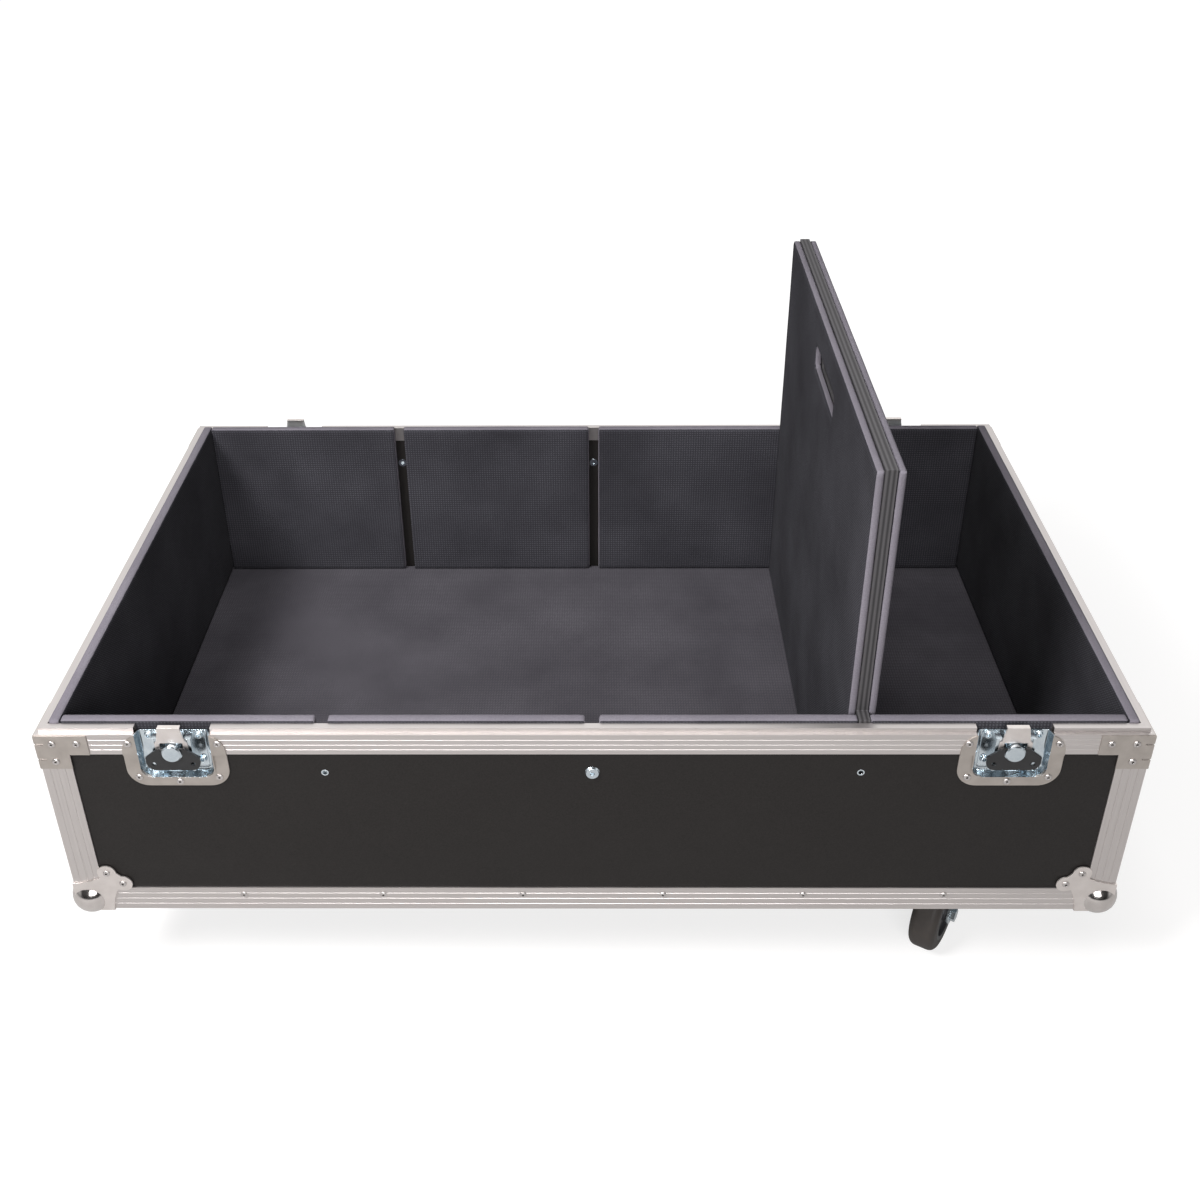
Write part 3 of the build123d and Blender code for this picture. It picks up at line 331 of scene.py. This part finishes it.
def dress(node, finish, radius_mm, segments=2):
    """A copy of a CAD node that stands for it, with flat faces made whole again and its edges rounded."""
    shape = merged(node)
    bmesh.ops.dissolve_limit(shape, angle_limit=FLAT_TURN, verts=shape.verts, edges=shape.edges,
                             use_dissolve_boundaries=False)
    for edge in shape.edges:
        if len(edge.link_faces) == 2 and edge.calc_face_angle(0) > CREASE_TURN:
            edge.smooth = False
    piece = make_piece(node + "_finish", shape, finish, node_body[node], node)
    bevel = piece.modifiers.new("edge_radius", "BEVEL")
    bevel.width = radius_mm * MM
    bevel.segments = segments
    bevel.limit_method = "ANGLE"
    bevel.angle_limit = CREASE_TURN
    bevel.harden_normals = True
    bevel.use_clamp_overlap = True
    return piece


# %% [markdown]
# ## Panels and metal edges
# The panels keep nearly sharp edges, since they are sawn and hidden under the sections. The sections get a
# fifth of a millimetre, and the pressed corner plates a little more. Where a run changes direction its finish
# changes with it, so that the drawn lines stay along the metal.

# %% Wooden shell
for node in ("bottom_panel", "front_panel", "rear_panel", "left_panel", "right_panel"):
    dress(node, laminate, 0.4)
print("panels dressed")

# %% Aluminium skeleton
for node, run in (("rim_front", aluminium_x), ("rim_rear", aluminium_x), ("base_edge_front", aluminium_x),
                  ("base_edge_rear", aluminium_x), ("rim_left", aluminium_y), ("rim_right", aluminium_y),
                  ("base_edge_left", aluminium_y), ("base_edge_right", aluminium_y),
                  ("upright_edges", aluminium_z)):
    dress(node, run, 0.2, segments=1)
print("edge sections dressed")

# %% [markdown]
# ## Corner hardware, latches and casters
# Each of these parts is pressed or turned from one piece of steel, so the CAD shape is right and only its
# edges and finish are missing. Two of them carry two finishes. A ball corner's ball is rubbed bright while
# its flanges stay dull, and its faces are found by their distance from the ball's middle. A latch dish is
# weathered on its flange and bright in its pan, and the pan's faces are those that lie further in than the
# case's face.

# %% Corners
BALL_INSET, BALL_OUTER, BALL_MARGIN = 13.0 * MM, 22.5 * MM, 0.4 * MM
dress("top_corner_plates", plate_zinc, 0.35)
balls = dress("ball_corners", dull_zinc, 0.35)
balls.data.materials.append(ball_zinc)
base_low, base_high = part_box("base_edge_front")[0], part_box("base_edge_rear")[1]
ball_middle = Vector((base_high[0] - BALL_INSET, base_high[1] - BALL_INSET, base_low[2] + BALL_INSET))
for polygon in balls.data.polygons:
    x, y, z = polygon.center
    from_middle = (Vector((abs(x), abs(y), z)) - ball_middle).length
    polygon.material_index = 1 if abs(from_middle - BALL_OUTER) < BALL_MARGIN else 0
print("ball faces:", sum(p.material_index for p in balls.data.polygons))

# %% Latches
PAN_STARTS = 344.0 * MM
PLACES = ("front_left", "front_right", "rear_left", "rear_right")
dishes = dress("latch_dishes", plate_zinc, 0.3)
dishes.data.materials.append(bright_zinc)
for polygon in dishes.data.polygons:
    polygon.material_index = 1 if abs(polygon.center.y) < PAN_STARTS else 0
dress("latch_base_plates", bright_zinc, 0.25)
dress("wall_inserts", bright_zinc, 0.2)
dress("centre_screws", bright_zinc, 0.2)
for corner in PLACES:
    dress(f"latch_hook_{corner}", dull_zinc, 0.25)
    dress(f"latch_knob_{corner}", bright_zinc, 0.2)
    dress(f"latch_wing_{corner}", wing_black, 0.3)
print("pan faces:", sum(p.material_index for p in dishes.data.polygons))

# %% Casters
dress("caster_plates", bright_zinc, 0.3)
dress("caster_bolts", bright_zinc, 0.3)
for corner in PLACES:
    dress(f"caster_fork_{corner}", bright_zinc, 0.3)
    dress(f"caster_axle_{corner}", bright_zinc, 0.3)
    dress(f"caster_hub_{corner}", nylon, 0.4)
    dress(f"caster_tyre_{corner}", rubber, 0.6)
print("hardware dressed")

# %% [markdown]
# ## Rivets
# A road case has the same blind rivet everywhere: a low dome with a small hollow where the mandrel broke off.
# Geometry Nodes set one such rivet on every seat. The seats are read off the CAD rivets: each one is a
# separate island of points, whose middle and whose long axis give the place and the way it faces.

# %% Rivet seats from the CAD node
RIVET_LENGTH, HEAD_HEIGHT, HEAD_RADIUS = 6.6 * MM, 1.6 * MM, 4.0 * MM


def islands(node):
    """The points of each separate solid of a CAD node."""
    shape = merged(node)
    left, found = set(shape.verts), []
    for first in shape.verts:
        if first not in left:
            continue
        left.discard(first)
        stack, group = [first], []
        while stack:
            vert = stack.pop()
            group.append(tuple(vert.co))
            for edge in vert.link_edges:
                other = edge.other_vert(vert)
                if other in left:
                    left.discard(other)
                    stack.append(other)
        found.append(np.array(group))
    shape.free()
    return found


def rivet_seats():
    """The plane under each rivet's head: a point on its axis and the way that the head faces."""
    seats, facings = [], []
    for points in islands("rivets"):
        low, high = points.min(axis=0), points.max(axis=0)
        long_axis = int(np.argmin(np.abs((high - low) - RIVET_LENGTH)))
        seat, facing = (low + high) / 2, np.zeros(3)
        facing[long_axis] = 1.0 if points[:, long_axis].mean() > seat[long_axis] else -1.0
        top = (high if facing[long_axis] > 0 else low)[long_axis]
        seat[long_axis] = top - facing[long_axis] * HEAD_HEIGHT
        seats.append(seat)
        facings.append(facing)
    return seats, facings


seats, facings = rivet_seats()
print("rivets:", len(seats))

# %% [markdown]
# A rivet starts as a plain cylinder of rings. Two curves then give each ring its radius and its height, as
# shares of the head's, from the rim, over the crown, down to the mandrel's end in the hollow. The last rings
# are marked, and the mark gives them a near-black that is painted shade in the hollow.

# %% One rivet and the tree that places it
RING_CORNERS, RINGS = 28, 9
HOLLOW_FROM = 0.8
PROFILE_SHARES = (0.16, 0.32, 0.48, 0.62, 0.72, 0.8, 0.9)
RING_RADII = (1.0, 0.99, 0.9, 0.72, 0.5, 0.36, 0.31, 0.27, 0.02)
RING_HEIGHTS = (0.0, 0.28, 0.62, 0.86, 0.97, 1.0, 0.9, 0.2, 0.12)


def rivet_tree():
    """A tree that turns seat points into domed rivets, with painted shade on the mandrel's end in the hollow.
    """
    tree = bpy.data.node_groups.new("blind_rivets", "GeometryNodeTree")
    tree.interface.new_socket("Geometry", in_out="INPUT", socket_type="NodeSocketGeometry")
    for label, value in (("Head Radius", HEAD_RADIUS), ("Head Height", HEAD_HEIGHT)):
        socket = tree.interface.new_socket(label, in_out="INPUT", socket_type="NodeSocketFloat")
        socket.default_value = value
    tree.interface.new_socket("Geometry", in_out="OUTPUT", socket_type="NodeSocketGeometry")
    given = add_node(tree, "NodeGroupInput").outputs
    tube = add_node(tree, "GeometryNodeMeshCylinder", {
        "Vertices": RING_CORNERS, "Side Segments": RINGS, "Radius": 1.0, "Depth": 1.0},
        fill_type="TRIANGLE_FAN")
    spot = add_node(tree, "GeometryNodeInputPosition").outputs[0]
    x, y, z = add_node(tree, "ShaderNodeSeparateXYZ", {0: spot}).outputs
    share = add_node(tree, "ShaderNodeMath", {0: z, 1: 0.5}, operation="ADD").outputs[0]
    sizes = []
    for values, label in ((RING_RADII, "Head Radius"), (RING_HEIGHTS, "Head Height")):
        profile = add_node(tree, "ShaderNodeFloatCurve", {"Value": share})
        points = profile.mapping.curves[0].points
        points[0].location, points[1].location = (0.0, values[0]), (1.0, values[-1])
        for at, value in zip(PROFILE_SHARES, values[1:-1]):
            points.new(at, value)
        size = add_node(tree, "ShaderNodeMath", {0: profile.outputs[0], 1: given[label]},
                        operation="MULTIPLY")
        sizes.append(size.outputs[0])
    radius, height = sizes
    along_x = add_node(tree, "ShaderNodeMath", {0: x, 1: radius}, operation="MULTIPLY").outputs[0]
    along_y = add_node(tree, "ShaderNodeMath", {0: y, 1: radius}, operation="MULTIPLY").outputs[0]
    shaped = add_node(tree, "ShaderNodeCombineXYZ", {0: along_x, 1: along_y, 2: height}).outputs[0]
    inside = add_node(tree, "ShaderNodeMath", {0: share, 1: HOLLOW_FROM}, operation="GREATER_THAN").outputs[0]
    marked = add_node(tree, "GeometryNodeStoreNamedAttribute", {
        "Geometry": tube.outputs["Mesh"], "Name": "hollow", "Value": inside},
        data_type="FLOAT", domain="FACE")
    dome = add_node(tree, "GeometryNodeSetPosition", {"Geometry": marked.outputs[0], "Position": shaped})
    facing = add_node(tree, "GeometryNodeInputNamedAttribute", {"Name": "facing"}, data_type="FLOAT_VECTOR")
    turned = add_node(tree, "FunctionNodeAlignEulerToVector", {"Vector": facing.outputs[0]}, axis="Z")
    placed = add_node(tree, "GeometryNodeInstanceOnPoints", {
        "Points": given["Geometry"], "Instance": dome.outputs[0], "Rotation": turned.outputs[0]})
    real = add_node(tree, "GeometryNodeRealizeInstances", {0: placed.outputs[0]})
    bright = add_node(tree, "GeometryNodeSetMaterial", {"Geometry": real.outputs[0], "Material": rivet_metal})
    hollow = add_node(tree, "GeometryNodeInputNamedAttribute", {"Name": "hollow"}, data_type="FLOAT")
    # The hollow's faces get the near-black finish, which is painted shade.
    hollows_painted_dark = add_node(tree, "GeometryNodeSetMaterial", {
        "Geometry": bright.outputs[0], "Selection": hollow.outputs[0], "Material": mandrel_painted_shade})
    add_node(tree, "NodeGroupOutput", {0: hollows_painted_dark.outputs[0]})
    return tree


def grow_rivets():
    """Runs the tree on the seats and returns the result as plain faces, with nothing left to grow."""
    cloud = bpy.data.meshes.new("rivet_seats")
    cloud.from_pydata([tuple(seat) for seat in seats], [], [])
    layer = cloud.attributes.new("facing", "FLOAT_VECTOR", "POINT")
    layer.data.foreach_set("vector", np.array(facings).ravel())
    seed = bpy.data.objects.new("rivet_seed", cloud)
    bpy.context.scene.collection.objects.link(seed)
    seed.modifiers.new("grow", "NODES").node_group = rivet_tree()
    grown = bpy.data.meshes.new_from_object(seed.evaluated_get(bpy.context.evaluated_depsgraph_get()))
    bpy.data.objects.remove(seed)
    shape = bmesh.new()
    shape.from_mesh(grown)
    bpy.data.meshes.remove(grown)
    return shape


rivets = make_piece("blind_rivets", grow_rivets(), rivet_metal, "tray", "rivets")
rivets.data.materials.append(mandrel_painted_shade)
# The tree's result starts with an empty material slot, so its numbers are one too high for this list.
for polygon in rivets.data.polygons:
    polygon.material_index = max(polygon.material_index - 1, 0)
print("rivet faces:", len(rivets.data.polygons))

# %% [markdown]
# ## The foam lining
# Foam boards are sawn, so they are nearly flat, but nothing about them is crisp: the edges are rounded by two
# or three millimetres and the faces wander by up to half a millimetre. Each CAD pad is copied and remeshed
# into small even cells, which also rounds its edges, and its faces are then pushed inwards by a few broad
# waves.

# %% Foam boards
WANDER = 0.5 * MM
WAVES = 6


def soft_board(node, name, cell_mm, face_finish, thin_axis):
    """A soft, slightly uneven board in the space of a CAD foam node. Its sawn edges get the cut finish."""
    piece = make_piece(name, merged(node), face_finish, node_body[node], node)
    piece.data.materials.append(foam_cut)
    cells = piece.modifiers.new("cells", "REMESH")
    cells.mode = "VOXEL"
    cells.voxel_size = cell_mm * MM
    cells.use_smooth_shade = True
    mesh = bpy.data.meshes.new_from_object(piece.evaluated_get(bpy.context.evaluated_depsgraph_get()))
    piece.modifiers.clear()
    piece.data = mesh
    count = len(mesh.vertices)
    points, normals = np.empty((count, 3)), np.empty((count, 3))
    mesh.vertices.foreach_get("co", points.ravel())
    mesh.vertices.foreach_get("normal", normals.ravel())
    wave = np.zeros(count)
    rng = np.random.default_rng(7)
    for _ in range(WAVES):
        direction = rng.normal(size=3)
        direction /= np.linalg.norm(direction)
        length = rng.uniform(60, 190) * MM
        wave += np.sin(points @ direction * 2 * math.pi / length + rng.uniform(0, 6.28))
    points -= normals * ((wave / WAVES + 1) / 2 * WANDER)[:, None]
    mesh.vertices.foreach_set("co", points.ravel())
    mesh.update()
    for polygon in mesh.polygons:
        polygon.use_smooth = True
        polygon.material_index = 0 if abs(polygon.normal[thin_axis]) > 0.6 else 1
    print(name, len(mesh.polygons), "faces")


for node, name, cell_mm, face_finish, thin_axis, slot in (
        ("front_foam_pads", "front_wall_foam", 3.0, foam_face, 1, "foam"),
        ("rear_foam_pads", "rear_wall_foam", 3.0, foam_face, 1, "foam"),
        ("left_foam", "left_wall_foam", 3.0, foam_face, 0, "foam"),
        ("right_foam", "right_wall_foam", 3.0, foam_face, 0, "foam"),
        ("floor_foam", "floor_lining_foam", 4.5, floor_face, 2, "floor_foam"),
        ("divider_foam_left", "divider_left_foam", 3.0, foam_face, 0, "foam"),
        ("divider_foam_right", "divider_right_foam", 3.0, foam_face, 0, "foam")):
    soft_board(node, name, cell_mm, face_finish, thin_axis)
dress("divider_board", plywood, 0.5)
print("foam made")

# %% [markdown]
# ## Light, floor and camera
# The case stands on a white floor under three soft lamps, as in a small product studio. The background white
# comes from the floor's and the world's own colour, seen by the camera, through glass and by reflections, so
# that it adds almost no light to the case. What metal mirrors is not all white, though: the room is dimmer
# near the horizon and has a dark end behind and above the camera, which gives the bright parts their
# contrast.

# %% The room
SKY_TOP, SKY_DIM, SKY_BRIGHT = 0.5, 0.35, 1.25
ROOM_FILL = 0.08
DARK_END, DARK_EDGES, DARK_LEVEL = (0.0, -0.85, 0.53), (0.45, 0.7), 0.05


def straight_rays(tree, ray):
    """1 for what the camera sees, also through glass."""
    return add_node(tree, "ShaderNodeMath", {0: ray["Is Camera Ray"], 1: ray["Is Transmission Ray"]},
                    operation="MAXIMUM").outputs[0]


def white_world():
    """White as seen, but a faint light. Gloss meets a dim horizon and the dark end of the room overhead."""
    world = bpy.data.worlds.new("studio")
    bpy.context.scene.world = world
    world.use_nodes = True
    tree = world.node_tree
    ray = add_node(tree, "ShaderNodeLightPath").outputs
    way = add_node(tree, "ShaderNodeTexCoord").outputs["Generated"]
    height = add_node(tree, "ShaderNodeSeparateXYZ", {0: way}).outputs[2]
    sky = add_node(tree, "ShaderNodeMapRange", {
        "Value": height, "From Min": 0.0, "From Max": SKY_TOP, "To Min": SKY_DIM, "To Max": SKY_BRIGHT})
    aim = add_node(tree, "ShaderNodeVectorMath", {0: way, 1: DARK_END}, operation="DOT_PRODUCT")
    dark_end = add_node(tree, "ShaderNodeMapRange", {
        "Value": aim.outputs["Value"], "From Min": DARK_EDGES[0], "From Max": DARK_EDGES[1],
        "To Min": 1.0, "To Max": DARK_LEVEL})
    faint = add_node(tree, "ShaderNodeMapRange", {
        "Value": ray["Is Glossy Ray"], "To Min": ROOM_FILL, "To Max": 1.0})
    level = sky.outputs["Result"]
    for share in (dark_end, faint):
        level = add_node(tree, "ShaderNodeMath", {0: level, 1: share.outputs["Result"]},
                         operation="MULTIPLY").outputs[0]
    shown = add_node(tree, "ShaderNodeMath", {0: level, 1: straight_rays(tree, ray)}, operation="MAXIMUM")
    background = tree.nodes["Background"]
    tree.links.new(shown.outputs[0], background.inputs["Strength"])
    background.inputs["Color"].default_value = (1, 1, 1, 1)


white_world()
print("world made")

# %% The floor
FLOOR_REACH = 12.0
GLOW_FROM, GLOW_TO, GLOW_NEAR, GLOW_FAR = 0.7, 1.7, 0.74, 1.0
GLOW_MIRRORED = 0.4


def white_floor():
    """A pale floor whose glow, for seen rays only, fills up to white away from the case."""
    mesh = bpy.data.meshes.new("studio_floor")
    corners = [(x * FLOOR_REACH, y * FLOOR_REACH, 0) for x, y in ((-1, -1), (1, -1), (1, 1), (-1, 1))]
    mesh.from_pydata(corners, [], [(0, 1, 2, 3)])
    floor = bpy.data.objects.new("studio_floor", mesh)
    bpy.context.scene.collection.objects.link(floor)
    paint, tree, shader, place = new_finish("studio_white", 0.9, gloss=0.0)
    shader.inputs["Base Color"].default_value = linear("#9c9a99")
    shader.inputs["Emission Color"].default_value = (1, 1, 1, 1)
    ray = add_node(tree, "ShaderNodeLightPath").outputs
    away = add_node(tree, "ShaderNodeVectorMath", {0: place}, operation="LENGTH").outputs["Value"]
    glow = add_node(tree, "ShaderNodeMapRange", {
        "Value": away, "From Min": GLOW_FROM, "From Max": GLOW_TO, "To Min": GLOW_NEAR, "To Max": GLOW_FAR})
    mirrored = add_node(tree, "ShaderNodeMapRange", {"Value": ray["Is Glossy Ray"], "To Max": GLOW_MIRRORED})
    share = add_node(tree, "ShaderNodeMath", {0: mirrored.outputs["Result"], 1: straight_rays(tree, ray)},
                     operation="MAXIMUM").outputs[0]
    seen = add_node(tree, "ShaderNodeMath", {0: glow.outputs["Result"], 1: share}, operation="MULTIPLY")
    tree.links.new(seen.outputs[0], shader.inputs["Emission Strength"])
    mesh.materials.append(paint)


white_floor()
print("floor made")

# %% The lamps
def lamp(name, place, target, size, power):
    """A rectangular softbox, turned to face its target."""
    data = bpy.data.lights.new(name, "AREA")
    data.shape = "RECTANGLE"
    data.size, data.size_y = size
    data.energy = power
    made = bpy.data.objects.new(name, data)
    bpy.context.scene.collection.objects.link(made)
    made.location = place
    made.rotation_euler = (Vector(target) - Vector(place)).to_track_quat("-Z", "Y").to_euler()


lamp("key_softbox", (-1.3, -1.3, 2.1), (0.1, 0, 0.3), (0.7, 0.7), 66)
lamp("overhead_softbox", (0.0, -0.4, 2.8), (0, 0, 0.2), (0.9, 0.9), 26)
lamp("front_softbox", (0.1, -2.8, 1.6), (0, 0, 0.3), (1.6, 1.0), 52)
print("lamps:", len(bpy.data.lights))

# %% [markdown]
# The photograph's camera was found by fitting the case's own edges in it. It looks down on the case from a
# little over head height, with a lens that keeps the long front edge almost level. Its place, turn, lens and
# small shift are the four results of that fit.

# %% The camera
CAMERA_PLACE = (0.00647, -1.4452, 1.28907)
CAMERA_TURNS = (31.502, -0.637, -0.423)
CAMERA_LENS, CAMERA_SHIFT = 41.417, (0.01239, -0.0533)


def place_camera():
    """Aims the camera by how far it looks down, how far it looks aside, and how far it leans."""
    data = bpy.data.cameras.new("photo_camera")
    camera = bpy.data.objects.new("photo_camera", data)
    bpy.context.scene.collection.objects.link(camera)
    bpy.context.scene.camera = camera
    data.sensor_width = 36.0
    data.lens = CAMERA_LENS
    data.shift_x, data.shift_y = CAMERA_SHIFT
    data.clip_start, data.clip_end = 0.05, 60
    pitch, yaw, roll = (math.radians(turn) for turn in CAMERA_TURNS)
    right = Vector((math.cos(yaw), -math.sin(yaw), 0))
    up = Vector((math.sin(yaw) * math.sin(pitch), math.cos(yaw) * math.sin(pitch), math.cos(pitch)))
    ahead = Vector((math.sin(yaw) * math.cos(pitch), math.cos(yaw) * math.cos(pitch), -math.sin(pitch)))
    leant_right = math.cos(roll) * right + math.sin(roll) * up
    leant_up = -math.sin(roll) * right + math.cos(roll) * up
    turned = Matrix((leant_right, leant_up, -ahead)).transposed().to_4x4()
    camera.matrix_world = Matrix.Translation(CAMERA_PLACE) @ turned


place_camera()
bpy.context.scene.view_settings.view_transform = "Standard"
print("camera at", CAMERA_PLACE)
